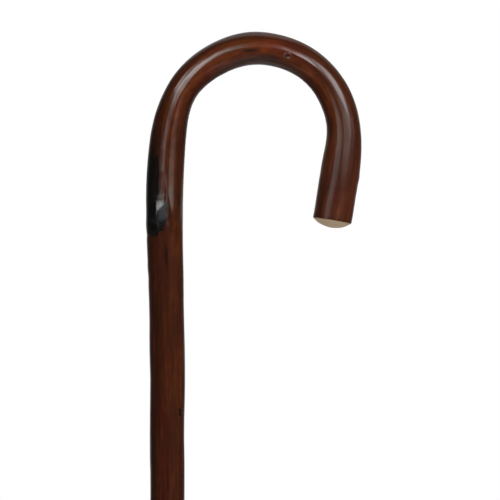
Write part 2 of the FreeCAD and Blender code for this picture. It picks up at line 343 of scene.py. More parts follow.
def relief(skin, radius):
    """Fine relief on top of the CAD radius."""
    length, height, angle = skin.length, skin.height, skin.angle
    # nothing moves at the ferrule's lip and at the rim of the nose
    hold = ramp(length, 2.0, 14.0) * ramp(length, RIM_AT - 0.5, RIM_AT - 6.0)
    rise = hold * (0.085 * unevenness(length, angle) + 0.030 * ribs(length, angle)
                   + 0.010 * ripple(length, angle))

    # trimmed knots of the shaft: a rubbed flat with a dished heart
    for knot_z, degrees, swelling, half, wide in SHAFT_KNOTS:
        across, up = skin.arc(degrees, KNOT_ARC), height - knot_z
        rise = rise - 0.45 * swelling * bell(up, 0.45 * half) * bell(across, 0.45 * wide)
        rise = rise - 0.22 * bell(up, 2.0) * bell(across, 1.5)

    rise = rise + neck_knot(skin, radius + rise)
    crease = np.radians(np.interp(height, *CREASE.T))
    rise = rise - (0.20 * bell((turn(angle, 0) - crease) * NECK_ARC, 0.75)
                   * ramp(height, 792.0, 796.0) * ramp(height, 812.0, 804.0))
    for step, step_z, half, degrees, begin, full in STEPS:
        rise = rise + step * bell(height - step_z, half) * ramp(skin.facing(degrees), begin, full)

    # growth ring of the nose: a faint raised band beside a groove, and a kink on the outer side
    outer = 0.6 + 0.4 * np.cos(angle)
    rise = rise + 0.030 * bell(length - (RIM_AT - 19.8), 1.1) * outer
    rise = rise - 0.020 * bell(length - (RIM_AT - 17.6), 1.0) * outer
    rise = rise + 0.22 * bell(length - (RIM_AT - 27.5), 2.4) * ramp(np.cos(angle), 0.35, 0.95)

    # the pin knot: a pit with a raised lip
    away = np.hypot(skin.arc(PIN_ANGLE, KNOT_ARC), (length - PIN_AT) * 0.85)
    rise = rise - 0.40 * bell(away, 0.75) + 0.20 * bell(away - 1.55, 0.55)

    # marks: shallow pits, with lips in proportion
    for mark_z, degrees, half, wide, depth, _ in MARKS:
        away = ((height - mark_z) / half) ** 2 + (skin.arc(degrees, MARK_ARC) / wide) ** 2
        rise = rise - depth * np.exp(-1.6 * away)
        rise = rise + 0.30 * depth * bell(np.sqrt(away) - 1.35, 0.35)
    return rise


# ---- paint of the grown stick: fields that the wood material reads -------------------------------
# The neck's scorch. Its edge on the side away from the outer edge: height, angle.
SCORCH_EDGE = np.array([
    (786, 60), (790, 74), (793.5, 80), (795, 88), (798, 91), (800, 94), (802, 99), (809, 99),
    (811.5, 97), (813, 84), (814.5, 77), (820, 76), (828, 74.5), (843, 73), (862, 66), (885, 52),
])
# Its fading towards the top: height, strength.
SCORCH_FADE = np.array([
    (822, 1.0), (834, 0.74), (844, 0.45), (854, 0.30), (866, 0.24), (878, 0.17), (890, 0.0),
])
SCORCH_STREAKS = ((62, 884), (48, 874), (30, 866))          # angle, top height
# Where the varnish over the scorch regains its gloss: height, angle.
DULL_EDGE = np.array([
    (790, 66), (800, 66), (812, 67), (816, 72), (822, 81), (850, 81), (862, 75), (872, 64),
    (884, 52),
])
# Paling by length: gain, start, end.
PALER = [
    (0.85, SHAFT_END, SHAFT_END + 40.0),
    (0.35, SHAFT_END - 90.0, SHAFT_END),
    (1.1, RIM_AT - 66.0, RIM_AT - 34.0),
]
# Redder, lighter patches: length or height, angle, half length, half width in degrees, strength.
WARM_CROOK = [
    (TOP_AT - 58, 112, 26, 26, 0.85), (TOP_AT - 20, 118, 20, 20, 0.75),
    (TOP_AT + 8, 92, 12, 30, 0.75), (TOP_AT + 34, 118, 20, 22, 0.65),
    (TOP_AT + 66, 122, 20, 20, 0.60), (RIM_AT - 9, 84, 10, 26, 0.55),
    (TOP_AT - 104, 112, 20, 18, 0.60), (TOP_AT + 70, 66, 22, 12, 0.30),
]
WARM_SHAFT = [
    (790, 128, 16, 24, 0.75), (765, 55, 9, 18, 0.45), (752, 118, 12, 20, 0.40),
    (712, 140, 22, 16, 0.55), (700, 84, 20, 16, 0.30), (648, 70, 24, 26, 0.25),
    (575, 95, 30, 40, 0.35), (480, 280, 40, 40, 0.35), (380, 150, 30, 40, 0.35),
    (300, 20, 40, 40, 0.35), (215, 110, 30, 40, 0.35), (120, 240, 30, 40, 0.35),
]


def scorch_field(skin, wobble, fringe):
    """Blackening of the neck, the knots, the marks and the nodes."""
    length, height, degrees = skin.length, skin.height, skin.degrees
    # the neck: two ragged sides, a sharp foot and a streaky top
    edge = np.interp(height, *SCORCH_EDGE.T)
    across = (ramp(edge + wobble + 0.8 * fringe - degrees, -5.0, 6.0)
              * ramp(degrees, -62 + 7 * wobble, -34 + 7 * wobble))
    foot = ramp(height + 0.9 * wobble + 0.5 * fringe - 0.035 * (60 - np.abs(degrees - 40)),
                790.0, 793.2)
    fade = np.interp(height + 1.5 * wobble, *SCORCH_FADE.T)
    char = across * foot * fade * (1 + 0.30 * fringe * (1 - fade))
    for streak, top_z in SCORCH_STREAKS:
        off = skin.degrees_off(streak) + 3.0 * wobble
        char = np.maximum(char, 0.55 * bell(off, 6.5) * ramp(height, top_z, 840)
                          * ramp(height, 800, 820))

    # knots of the shaft, each with a streaky tail above it
    for knot_z, angle, _, half, wide in SHAFT_KNOTS:
        off, up = skin.arc(angle, KNOT_PAINT_ARC), height - knot_z
        away = np.hypot(up / (1.15 * half), off / (0.95 * wide))
        char = np.maximum(char, ramp(away + 0.10 * wobble + 0.07 * fringe, 1.08, 0.62))
        tail = bell(off, 0.5 * wide) * ramp(up, 0, half) * ramp(up, 3.6 * half, half)
        char = np.maximum(char, 0.55 * tail * ramp(0.5 + 0.5 * fringe, 0.2, 0.9))

    # marks; the long ones trail off both ways
    for mark_z, angle, half, wide, _, darkness in MARKS:
        off, up = skin.arc(angle, MARK_ARC), height - mark_z
        away = np.hypot(up / (1.15 * half), off / (1.15 * wide))
        char = np.maximum(char, darkness * ramp(away + 0.06 * wobble, 1.15, 0.55))
        if half > 3:
            char = np.maximum(char, 0.30 * bell(off, 0.55 * wide) * bell(up, 2.6 * half))

    # nodes of the shaft: a broken dark ring
    broken = ramp(0.5 + 0.6 * edge_wobble(length * 0.4, skin.angle), 0.2, 1.0)
    for node_z, _, half in NODES:
        band = bell(height - node_z + 1.5 * wobble, 0.30 * half)
        char = np.maximum(char, 0.42 * band * broken)

    # the pin knot, a stain round it and the long smudge before it
    off, ahead = skin.arc(PIN_ANGLE, KNOT_ARC), length - PIN_AT
    char = np.maximum(char, ramp(np.hypot(off, 0.8 * ahead), 1.35, 0.55))
    char = np.maximum(char, 0.30 * bell(off, 2.0) * bell(ahead, 3.0))
    off, ahead = skin.arc(100.0, KNOT_ARC), length - (PIN_AT - 23.5)
    char = np.maximum(char, 0.62 * bell(off, 1.25) * bell(ahead, 6.0, power=3))
    return np.clip(char, 0, 1)


def tone_field(skin, wobble):
    """Lightness of the brown, 0 being the middle."""
    length, height = skin.length, skin.height
    tone = 0.55 * broad_tone(length, skin.angle) + 0.45 * streaky_tone(length, skin.angle)
    for gain, start, end in PALER:
        tone = tone + gain * ramp(length, start, end)
    tone = tone + 0.8 * bell(height - 722.0, 36.0)
    # the inside of the bend is darker
    tone = tone - (2.2 * ramp(skin.facing(180), 0.25, 0.75)
                   * ramp(length, TOP_AT - 95, TOP_AT - 75) * ramp(length, TOP_AT + 94, TOP_AT + 74))
    # shade in the nose's ring, and a painted shade line at the nose's cut edge
    tone = tone - 0.9 * bell(length - (RIM_AT - 19.0) + 0.5 * wobble, 0.8)
    tone = tone - 1.6 * ramp(length, RIM_AT - 1.6, RIM_AT - 0.2)
    # the outer side above the neck
    tone = tone - (0.6 * ramp(skin.facing(-5), 0.35, 0.9)
                   * ramp(height, 800, 830) * ramp(height, 885, 862))
    return np.clip(tone, -2.5, 3.5)


def warm_field(skin, wobble):
    """Redder, lighter patches."""
    warm = np.zeros(skin.angle.shape)
    for place, patches in ((skin.length, WARM_CROOK), (skin.height, WARM_SHAFT)):
        for centre, angle, half, wide, strength in patches:
            patch = bell(place - centre, half) * bell(skin.degrees_off(angle), wide)
            warm = np.maximum(warm, strength * patch)
    return np.clip(warm * (0.8 + 0.2 * wobble), 0, 1)


def ash_and_reflection_field(skin, wobble, fringe):
    """Grey of worn scorch with a painted dim reflection: the lower pared face, and fainter before
    it.
    """
    height, degrees = skin.height, skin.degrees
    ridge_z = 809.3 + 0.14155 * (degrees - 85.5)
    strength = (0.45 * ramp(height, 820, 812)
                + 0.55 * ramp(ridge_z - height + 0.4 * fringe, -0.5, 1.3))
    face = (ramp(degrees + 2.0 * wobble, 72, 80) * ramp(degrees - 2.0 * wobble, 103, 94)
            * strength * ramp(height + wobble, 799.6, 804.6))
    faint = (0.30 * ramp(degrees + 2.0 * wobble, 40, 56) * ramp(degrees, 82, 74)
             * ramp(height + 1.5 * wobble, 794.5, 798.5)
             * ramp(height + 1.5 * wobble, 806.5, 801.5))
    return np.maximum(face, faint)


def dull_field(skin, wobble):
    """Gloss lost where the varnish has sunk into the neck's scorch."""
    height, degrees = skin.height, skin.degrees
    edge = np.interp(height, *DULL_EDGE.T)
    return (ramp(edge + 0.8 * wobble - degrees, -2.5, 3.0) * ramp(degrees, 22, 48)
            * ramp(height, 789, 796) * ramp(height, 884, 856))


# ---- rings: each part gives its points, radii, lengths along the stick and channels --------------
def placed(centre, outward, front, radius):
    return (centre[:, None, :] + outward[:, None, :] * (radius * np.cos(THETA))[..., None]
            + front[:, None, :] * (radius * np.sin(THETA))[..., None])


def upright(radius, z):
    """Rings round a straight, standing axis."""
    return np.stack([-radius * np.cos(THETA), -radius * np.sin(THETA), z], -1)


def spaced(start, end, step):
    count = max(1, int(round((end - start) / step)))
    return start + (end - start) * np.arange(count) / count


def ring_lengths():
    """Lengths of the grown stick's rings, densest on the crook and at the pin knot."""
    fine_from = float(np.interp(636.0, STATIONS[:RISING_STATIONS, 2], station_at[:RISING_STATIONS]))
    coarse, fine, finest = 2.35, 0.80, 0.36
    pin_half = 3.2
    return np.concatenate([
        [0.0, 0.25, 0.6, 1.2],
        spaced(2.2, 40.0, 2.0),
        spaced(40.0, fine_from, coarse),
        spaced(fine_from, PIN_AT - pin_half, fine),
        spaced(PIN_AT - pin_half, PIN_AT + pin_half, finest),
        spaced(PIN_AT + pin_half, RIM_AT - 2.0, fine),
        RIM_AT - np.array([2.0, 1.5, 1.1, 0.8, 0.55, 0.35, 0.22]),
    ])


def grown_rings(skin, radius):
    wobble = edge_wobble(skin.length, skin.angle)
    fringe = edge_fringe(skin.length, skin.angle)
    channels = np.stack([
        scorch_field(skin, wobble, fringe), tone_field(skin, wobble), warm_field(skin, wobble),
        np.zeros_like(radius), ash_and_reflection_field(skin, wobble, fringe), dull_field(skin, wobble)], -1)
    points = placed(skin.centre, skin.outward, skin.front, radius)
    return points, radius, np.broadcast_to(skin.length, radius.shape), channels


def nose_rings(last_radius):
    """An eased edge and the hand-rounded end, in the rim's own plane."""
    centre, along, outward, front = cross_frames(np.array([RIM_AT]))
    rim_radius = float(girth(RIM_AT)[0, 0] / 2)
    ball = (rim_radius ** 2 + NOSE_SAG ** 2) / (2 * NOSE_SAG)
    # share of the rim's radius, height over the rim
    edge = np.array([(0.9985, -0.10), (0.9945, -0.01), (0.987, 0.075)])
    share = np.concatenate([edge[:, 0], np.linspace(0.972, 0.06, 34)])[:, None]
    rise = np.sqrt(ball ** 2 - (rim_radius * share) ** 2) - (ball - NOSE_SAG)
    rise = rise + (0.05 * nose_wave(share * 40.0, THETA)
                   * ramp(1 - share, 0.0, 0.25) * ramp(share, 0.0, 0.3))
    # short cracks from the pith: angle, reach as a share of the radius, depth
    for degrees, reach, depth in ((38, 0.62, 0.16), (163, 0.44, 0.13), (281, 0.70, 0.15)):
        off = turn(THETA, degrees) * rim_radius * share
        rise = rise - (depth * bell(off, 0.33) * ramp(share, reach, 0.6 * reach)
                       * ramp(share, 0.02, 0.12))
    rise[:len(edge)] = edge[:, 1:]
    radius = last_radius * share
    channels = np.zeros((*radius.shape, len(CHANNELS)))
    channels[1:, :, BARE] = 1.0
    # the eased edge is darkest: a painted shade line at the rim
    channels[0, :, TONE] = -2.5
    points = placed(centre, outward, front, radius) + along[0] * rise[..., None]
    return points, radius, RIM_AT + rise, channels, centre[0] + along[0] * NOSE_SAG


# The turned seat's rings, below the shoulder: z, radius. First the underside and its chamfer.
seat_flat = SEAT_RADIUS - SEAT_CHAMFER
SEAT_UNDERSIDE = [(SEAT_BOTTOM, radius) for radius in (1.2, 2.6, 4.2, 5.8, 7.2, 8.2, seat_flat)] + [
    (SEAT_BOTTOM + 0.06, seat_flat + 0.1),
    (SEAT_BOTTOM + SEAT_CHAMFER - 0.1, SEAT_RADIUS - 0.08),
    (SEAT_BOTTOM + SEAT_CHAMFER + 0.1, SEAT_RADIUS),
]
SEAT_WALL = [(z, SEAT_RADIUS) for z in np.arange(SEAT_BOTTOM + 3.0, SHOULDER - 1.5, 2.2)] + [
    (SHOULDER - 0.5, SEAT_RADIUS),
    (SHOULDER - 0.06, SEAT_RADIUS),
    (SHOULDER - 0.02, SEAT_RADIUS + 0.05),
]


def seat_rings():
    profile = np.array(SEAT_UNDERSIDE + SEAT_WALL)
    shape = (len(profile), AROUND)
    z = np.broadcast_to(profile[:, :1], shape)
    radius = np.broadcast_to(profile[:, 1:], shape)
    channels = np.zeros((*shape, len(CHANNELS)))
    channels[:-2, :, BARE] = 0.6
    return upright(radius, z), radius, z - SHOULDER, channels


# ---- the stick's mesh ----------------------------------------------------------------------------
def ring_faces(rings):
    """Outward quads between the rings, then the fans on the foot's and the nose's poles."""
    ring, column = np.meshgrid(np.arange(rings - 1), np.arange(AROUND), indexing="ij")
    here, beside = ring * AROUND + column, ring * AROUND + (column + 1) % AROUND
    quads = np.stack([here, beside, beside + AROUND, here + AROUND], -1).reshape(-1, 4)
    first = np.arange(AROUND)
    second = (first + 1) % AROUND
    last = (rings - 1) * AROUND
    foot_pole = np.full(AROUND, rings * AROUND)
    foot_fan = np.stack([foot_pole, second, first], -1)
    nose_fan = np.stack([foot_pole + 1, last + first, last + second], -1)
    return quads, foot_fan, nose_fan


def bake_layout(quads, foot_fan, nose_fan, ring_at, straight, nose_count):
    """UVs of every corner: four long strips for the side, and a disc for each end."""
    strip_starts = np.array([ring_at[0] - 0.1, 310.0, 600.0, 818.0])
    strip_ends = np.append(strip_starts[1:], RIM_AT + 1.0)
    strip_height, strip_gap, margin = 0.212, 0.008, 0.004

    ring = np.repeat(np.arange(len(ring_at) - 1), AROUND)
    column = np.tile(np.arange(AROUND), len(ring_at) - 1)
    corner_ring, corner_column = quads // AROUND, quads % AROUND
    closing = (column[:, None] == AROUND - 1) & (corner_column == 0)
    angle = np.append(THETA, THETA[0] + TAU)[np.where(closing, AROUND, corner_column)] / TAU
    row = np.searchsorted(strip_starts, 0.5 * (ring_at[ring] + ring_at[ring + 1])) - 1
    along = ((ring_at[corner_ring] - strip_starts[row][:, None])
             / (strip_ends - strip_starts)[row][:, None])
    side = np.stack([
        margin + (1 - 2 * margin) * along,
        margin + (strip_height + strip_gap) * row[:, None]
        + strip_height * (angle - THETA[0] / TAU)], -1)

    def nose_disc(corners):
        return np.array((0.062, 0.942)) + straight[corners][..., :2] / (23.9 / 0.108)

    def foot_disc(corners):
        return np.array((0.190, 0.942)) + straight[corners][..., :2] / (19.5 / 0.100)

    on_nose = ring >= len(ring_at) - nose_count - 1
    on_foot = ring < len(SEAT_UNDERSIDE) - 1
    side[on_nose] = nose_disc(quads[on_nose])
    side[on_foot] = foot_disc(quads[on_foot])
    parts = (side, foot_disc(foot_fan), nose_disc(nose_fan))
    return np.concatenate([part.reshape(-1, 2) for part in parts])


def build_stick(skin, radius):
    seat = seat_rings()
    grown = grown_rings(skin, radius)
    *nose, nose_pole = nose_rings(radius[-1])
    points, radii, along, channels = (np.concatenate(part) for part in zip(seat, grown, nose))
    foot_pole = (0.0, 0.0, SEAT_BOTTOM)
    verts = np.concatenate([points.reshape(-1, 3), [foot_pole, nose_pole]]) * MM
    straight = np.concatenate([
        upright(radii, along).reshape(-1, 3),
        [(0, 0, SEAT_BOTTOM - SHOULDER), (0, 0, RIM_AT + NOSE_SAG)]])
    poles = np.zeros((2, len(CHANNELS)))
    poles[:, BARE] = 0.6, 1.0
    channels = np.concatenate([channels.reshape(-1, len(CHANNELS)), poles])
    parts = ring_faces(len(points))
    faces = [tuple(face) for part in parts for face in part.tolist()]

    mesh = bpy.data.meshes.new("bent_stick")
    mesh.from_pydata(verts.tolist(), [], faces)
    mesh.polygons.foreach_set("use_smooth", np.ones(len(faces), bool))
    # the point's place with the bend taken out, for the grain
    attribute = mesh.attributes.new("straight", "FLOAT_VECTOR", "POINT")
    attribute.data.foreach_set("vector", straight.astype(np.float32).ravel())
    for i, name in enumerate(CHANNELS):
        attribute = mesh.attributes.new(name, "FLOAT", "POINT")
        attribute.data.foreach_set("value", channels[:, i].astype(np.float32))
    layout = bake_layout(*parts, along[:, 0], straight, nose_count=len(nose[0]))
    uv_map = mesh.uv_layers.new(name="OFBake")
    uv_map.data.foreach_set("uv", layout.astype(np.float32).ravel())
    mesh.validate()
    mesh.update()
    stick = bpy.data.objects.new("bent_stick", mesh)
    bpy.context.scene.collection.objects.link(stick)
    return stick


def require_cad_fit(skin, radius):
    """Stop if the stick without its relief has left the surface of the CAD stick."""
    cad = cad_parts["stick"].data
    tree = BVHTree.FromPolygons([v.co for v in cad.vertices],
                                [tuple(p.vertices) for p in cad.polygons])
    gaps = []
    for i in range(6, len(radius) - 8, 9):
        for j in range(0, AROUND, 8):
            way = skin.outward[i] * math.cos(THETA[j]) + skin.front[i] * math.sin(THETA[j])
            hit, _, _, distance = tree.ray_cast(Vector(skin.centre[i] * MM), Vector(way), 0.03)
            if hit is not None:
                gaps.append(radius[i, j] - distance / MM)
    if len(gaps) < 500 or abs(np.mean(gaps)) > 0.12 or np.abs(gaps).max() > 0.6:
        raise RuntimeError("the visual stick has left the CAD stick")


skin = Skin(ring_lengths())
plain_radius = cad_radius(skin)
require_cad_fit(skin, plain_radius)
stick = build_stick(skin, plain_radius + relief(skin, plain_radius))
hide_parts("stick")
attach(stick, "stick")


# ==================================================================================================
# Materials
# ==================================================================================================
class Nodes:
    """Short names for building a node tree. Naming an output empties the tree first."""

    def __init__(self, tree, output=None):
        self.tree = tree
        if output:
            tree.nodes.clear()
            self.out = self.new(output)

    def new(self, kind):
        return self.tree.nodes.new("ShaderNode" + kind)

    def put(self, socket, value):
        """Link an output to the socket, or set its value."""
        if hasattr(value, "is_output"):
            self.tree.links.new(value, socket)
        elif isinstance(value, (tuple, list)) and len(value) == 3 and socket.type == "RGBA":
            socket.default_value = (*value, 1.0)
        else:
            socket.default_value = value

    def attribute(self, name, output="Fac"):
        node = self.new("Attribute")
        node.attribute_name = name
        return node.outputs[output]

    def coordinates(self, kind="Object"):
        return self.new("TexCoord").outputs[kind]

    def camera_ray(self):
        return self.new("LightPath").outputs["Is Camera Ray"]

    def split(self, vector):
        node = self.new("SeparateXYZ")
        self.put(node.inputs[0], vector)
        return node.outputs

    def vector(self, operation, first, second=None, output="Vector"):
        node = self.new("VectorMath")
        node.operation = operation
        self.put(node.inputs[0], first)
        if second is not None:
            self.put(node.inputs[1], second)
        return node.outputs[output]

    def length(self, vector):
        return self.vector("LENGTH", vector, output="Value")

    def noise(self, at, stretch, detail=3.0, rough=0.55, distort=0.0):
        node = self.new("TexNoise")
        self.put(node.inputs["Vector"], self.vector("MULTIPLY", at, stretch))
        node.inputs["Scale"].default_value = 1.0
        node.inputs["Detail"].default_value = detail
        node.inputs["Roughness"].default_value = rough
        node.inputs["Distortion"].default_value = distort
        return node.outputs["Fac"]

    def cells(self, at, stretch):
        node = self.new("TexVoronoi")
        self.put(node.inputs["Vector"], self.vector("MULTIPLY", at, stretch))
        node.inputs["Scale"].default_value = 1.0
        return node.outputs["Distance"]

    def maths(self, operation, *values, clamp=False):
        node = self.new("Math")
        node.operation = operation
        node.use_clamp = clamp
        for socket, value in zip(node.inputs, values):
            self.put(socket, value)
        return node.outputs[0]

    def times(self, first, second):
        return self.maths("MULTIPLY", first, second)

    def plus(self, first, second, clamp=False):
        return self.maths("ADD", first, second, clamp=clamp)

    def linear(self, value, gain, base):
        return self.maths("MULTIPLY_ADD", value, gain, base)

    def swing(self, value, gain):
        """A noise brought to lie about 0."""
        return self.linear(value, gain, -gain / 2)

    def remap(self, value, span, to=(0.0, 1.0)):
        """A smooth step over the span."""
        node = self.new("MapRange")
        node.interpolation_type = "SMOOTHSTEP"
        self.put(node.inputs["Value"], value)
        for name, bound in zip(("From Min", "From Max", "To Min", "To Max"), (*span, *to)):
            self.put(node.inputs[name], bound)
        return node.outputs["Result"]

    def mix(self, factor, first, second, blend="MIX"):
        node = self.new("Mix")
        node.data_type = "RGBA"
        node.blend_type = blend
        node.clamp_factor = True
        self.put(node.inputs[0], factor)
        self.put(node.inputs[6], first)
        self.put(node.inputs[7], second)
        return node.outputs[2]

    def mix_value(self, factor, first, second):
        node = self.new("Mix")
        node.data_type = "FLOAT"
        self.put(node.inputs[0], factor)
        self.put(node.inputs[2], first)
        self.put(node.inputs[3], second)
        return node.outputs[0]

    def mix_shader(self, factor, first, second):
        node = self.new("MixShader")
        for socket, value in zip(node.inputs, (factor, first, second)):
            self.put(socket, value)
        return node.outputs[0]

    def bump(self, height, strength, distance):
        node = self.new("Bump")
        node.inputs["Strength"].default_value = strength
        node.inputs["Distance"].default_value = distance
        self.put(node.inputs["Height"], height)
        return node.outputs[0]

    def surface(self, shader):
        self.put(self.out.inputs["Surface"], shader)

    def principled(self, **values):
        node = self.new("BsdfPrincipled")
        for name, value in values.items():
            self.put(node.inputs[name.replace("_", " ")], value)
        self.surface(node.outputs[0])


def new_material(name):
    material = bpy.data.materials.new(name)
    material.use_nodes = True
    return material, Nodes(material.node_tree, "OutputMaterial")


def end_grain(n, place):
    """Bare end grain: growth rings round the pith, pores and a painted shade line round its rim.
    Gives its colour and its height."""
    x, y, _ = n.split(place)
    node = n.new("CombineXYZ")
    n.put(node.inputs[0], x)
    n.put(node.inputs[1], y)
    flat = node.outputs[0]
    pith = n.vector("ADD", flat, (0.9, -0.6, 0.0))
    waver = n.noise(pith, (0.16, 0.16, 0.16), detail=3.0, rough=0.5)
    radius = n.plus(n.length(pith), n.swing(waver, 2.4))
    ring = n.maths("FRACT", n.times(radius, 0.47))
    late = n.times(n.remap(ring, span=(0.50, 0.93)), n.remap(ring, span=(0.93, 1.0), to=(1.0, 0.0)))
    pores = n.remap(n.cells(pith, (3.6, 3.6, 3.6)), span=(0.12, 0.30), to=(1.0, 0.0))
    pores = n.times(pores, n.remap(ring, span=(0.45, 0.05)))
    cloud = n.noise(pith, (0.22, 0.22, 0.22), detail=4.0, rough=0.6)
    late_wood, pore = (0.500, 0.320, 0.170), (0.330, 0.200, 0.110)
    heart, rim = (0.260, 0.150, 0.080), (0.400, 0.235, 0.130)
    colour = n.mix(cloud, (0.66, 0.485, 0.305), (0.80, 0.625, 0.430))
    colour = n.mix(n.times(late, 0.34), colour, late_wood)
    colour = n.mix(n.times(pores, 0.40), colour, pore)
    colour = n.mix(n.remap(n.length(pith), span=(0.3, 1.5), to=(0.75, 0.0)), colour, heart)
    # a painted shade line round the rim of the end
    edge = n.times(n.remap(n.length(flat), span=(10.7, 11.75)),
                   n.remap(cloud, span=(0.25, 0.7), to=(0.35, 0.8)))
    return n.mix(edge, colour, rim), n.maths("SUBTRACT", n.times(late, 0.5), pores)


def wood():
    material, n = new_material("stained_varnished_wood")
    place = n.attribute("straight", "Vector")
    char, tone, warm, bare, ash_and_reflection, dull = (n.attribute(name) for name in CHANNELS)

    # grain, from broad figure to single fibres
    figure = n.noise(place, (0.11, 0.11, 0.012), detail=4.0, rough=0.6, distort=0.35)
    streak = n.noise(place, (0.55, 0.55, 0.014), detail=4.0, rough=0.6, distort=0.25)
    fibre = n.noise(place, (2.3, 2.3, 0.045), detail=4.0, rough=0.62, distort=0.15)
    hair = n.noise(place, (6.0, 6.0, 0.16), detail=2.0, rough=0.5)
    mottle = n.noise(place, (0.30, 0.30, 0.10), detail=5.0, rough=0.65, distort=0.6)
    fleck = n.remap(n.cells(place, (1.05, 1.05, 0.12)), span=(0.06, 0.17), to=(1.0, 0.0))
    fleck_patches = n.remap(n.noise(place, (0.35, 0.35, 0.05), detail=2.0), span=(0.52, 0.66))
    fleck = n.times(fleck, fleck_patches)

    level = n.linear(tone, gain=0.085, base=0.5)
    for grain, gain in ((figure, 0.62), (streak, 0.75), (fibre, 0.55), (hair, 0.24)):
        level = n.plus(level, n.swing(grain, gain))
    level = n.plus(level, n.swing(mottle, 0.30), clamp=True)
    darkest, middle, lightest = (0.0190, 0.0050, 0.0024), (0.0560, 0.0126, 0.0044), (
        0.1180, 0.0275, 0.0076)
    warm_dark, warm_light = (0.0780, 0.0155, 0.0036), (0.1600, 0.0365, 0.0072)
    brown = n.mix(n.remap(level, span=(0.08, 0.52)), darkest, middle)
    brown = n.mix(n.remap(level, span=(0.50, 0.95)), brown, lightest)
    brown = n.mix(n.times(warm, n.remap(mottle, span=(0.30, 0.62), to=(0.45, 1.0))), brown,
                  n.mix(n.remap(level, span=(0.2, 0.8)), warm_dark, warm_light))
    # here redder, there more olive
    cast = n.noise(place, (0.13, 0.13, 0.030), detail=3.0, rough=0.6)
    for span, tint in (((0.52, 0.70), (1.12, 0.86, 1.12)), ((0.48, 0.32), (0.97, 1.14, 0.80))):
        brown = n.mix(n.remap(cast, span=span), brown, n.mix(1.0, brown, tint, blend="MULTIPLY"))
    fleck_colour = (0.0110, 0.0045, 0.0032)
    brown = n.mix(n.times(fleck, 0.55), brown, fleck_colour)

    # scorch: its edge breaks up along the fibres
    broken = n.plus(n.swing(fibre, 0.34), n.swing(mottle, 0.24))
    scorch = n.plus(char, n.times(broken, n.remap(char, span=(0.45, 0.95), to=(1.0, 0.25))))
    scorch = n.times(n.remap(scorch, span=(0.08, 0.80)), n.remap(char, span=(0.02, 0.16)))
    black = n.mix(fibre, (0.0050, 0.0042, 0.0040), (0.0125, 0.0102, 0.0094))
    # grey for worn scorch and a painted dim reflection on the pared face
    ash_and_reflection_grey = n.mix(fibre, (0.0330, 0.0400, 0.0450), (0.0660, 0.0710, 0.0740))
    side = n.mix(scorch, brown, black)
    side = n.mix(n.times(ash_and_reflection, n.remap(mottle, span=(0.25, 0.75), to=(0.6, 1.0))), side, ash_and_reflection_grey)
    end_colour, end_height = end_grain(n, place)

    # varnish over the side, none over the nose
    rough = n.mix_value(scorch, n.linear(fibre, gain=0.16, base=0.30), 0.34)
    rough = n.mix_value(bare, rough, 0.58)
    coat = n.mix_value(bare, n.remap(mottle, span=(0.2, 0.8), to=(0.92, 1.0)), 0.04)
    coat = n.mix_value(dull, coat, 0.22)
    # towards the nose the gloss is rubbed to satin
    satin = n.remap(n.length(n.vector("MULTIPLY", place, (0.0, 0.0, 1.0))),
                    span=(RIM_AT - 80.0, RIM_AT - 46.0))

    grain_height = n.linear(fibre, gain=0.7, base=n.times(hair, 0.3))
    grain_height = n.maths("SUBTRACT", grain_height, n.times(fleck, 0.8))
    wood_height = n.mix_value(bare, grain_height, end_height)
    skin_noise = n.noise(place, (0.75, 0.75, 0.10), detail=2.0, rough=0.5)
    varnish_height = n.linear(skin_noise, gain=1.0, base=n.times(streak, 1.2))
    n.principled(
        Base_Color=n.mix(bare, side, end_colour),
        Roughness=rough,
        IOR=1.47,
        Coat_Weight=coat,
        Coat_Roughness=n.mix_value(satin, 0.16, 0.265),
        Coat_IOR=1.52,
        Normal=n.bump(wood_height, strength=0.55, distance=0.00006),
        Coat_Normal=n.bump(varnish_height, strength=0.5, distance=0.00010),
        Specular_IOR_Level=n.mix_value(bare, 0.05, 0.35),
        Specular_Tint=(1.0, 0.74, 0.56))
    return material


def rubber():
    material, n = new_material("moulded_rubber")
    place = n.coordinates()
    grain = n.noise(place, (900, 900, 900), detail=3.0, rough=0.6)
    cloud = n.noise(place, (70, 70, 70), detail=4.0, rough=0.6, distort=0.4)
    # scuffs only near the ground
    low = n.remap(n.split(place)[2], span=(0.0, 0.007), to=(1.0, 0.0))
    scratches = n.noise(place, (260, 260, 120), detail=5.0, rough=0.7)
    scuff = n.times(low, n.remap(scratches, span=(0.42, 0.62)))
    bloom = n.remap(cloud, span=(0.42, 0.72))
    bloom_colour, scuff_colour = (0.0520, 0.0500, 0.0480), (0.1250, 0.1180, 0.1080)
    colour = n.mix(cloud, (0.0115, 0.0115, 0.0120), (0.0240, 0.0238, 0.0240))
    colour = n.mix(n.times(bloom, 0.35), colour, bloom_colour)
    colour = n.mix(n.times(scuff, 0.55), colour, scuff_colour)
    rough = n.plus(n.linear(cloud, gain=0.22, base=0.46), n.times(scuff, 0.25), clamp=True)
    n.principled(Base_Color=colour, Roughness=rough, IOR=1.50, Sheen_Weight=0.06,
                 Normal=n.bump(grain, strength=0.35, distance=0.00006))
    return material


def steel():
    material, n = new_material("zinc_plated_steel")
    place = n.coordinates()
    cloud = n.noise(place, (320, 320, 320), detail=4.0, rough=0.6)
    spangle = n.cells(place, (420, 420, 420))
    spangle_colour = (0.40, 0.42, 0.45)
    colour = n.mix(cloud, (0.50, 0.50, 0.51), (0.70, 0.70, 0.69))
    colour = n.mix(n.remap(spangle, span=(0.1, 0.7), to=(0.0, 0.25)), colour, spangle_colour)
    n.principled(Base_Color=colour, Metallic=1.0, Roughness=n.linear(cloud, gain=0.25, base=0.24),
                 Normal=n.bump(cloud, strength=0.25, distance=0.00005))
    return material


stick.data.materials.append(wood())
for name, material in (("ferrule", rubber()), ("ferrule_washer", steel())):
    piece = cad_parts[name]
    if not piece.material_slots:
        piece.data.materials.append(material)
    for slot in piece.material_slots:
        slot.material = material

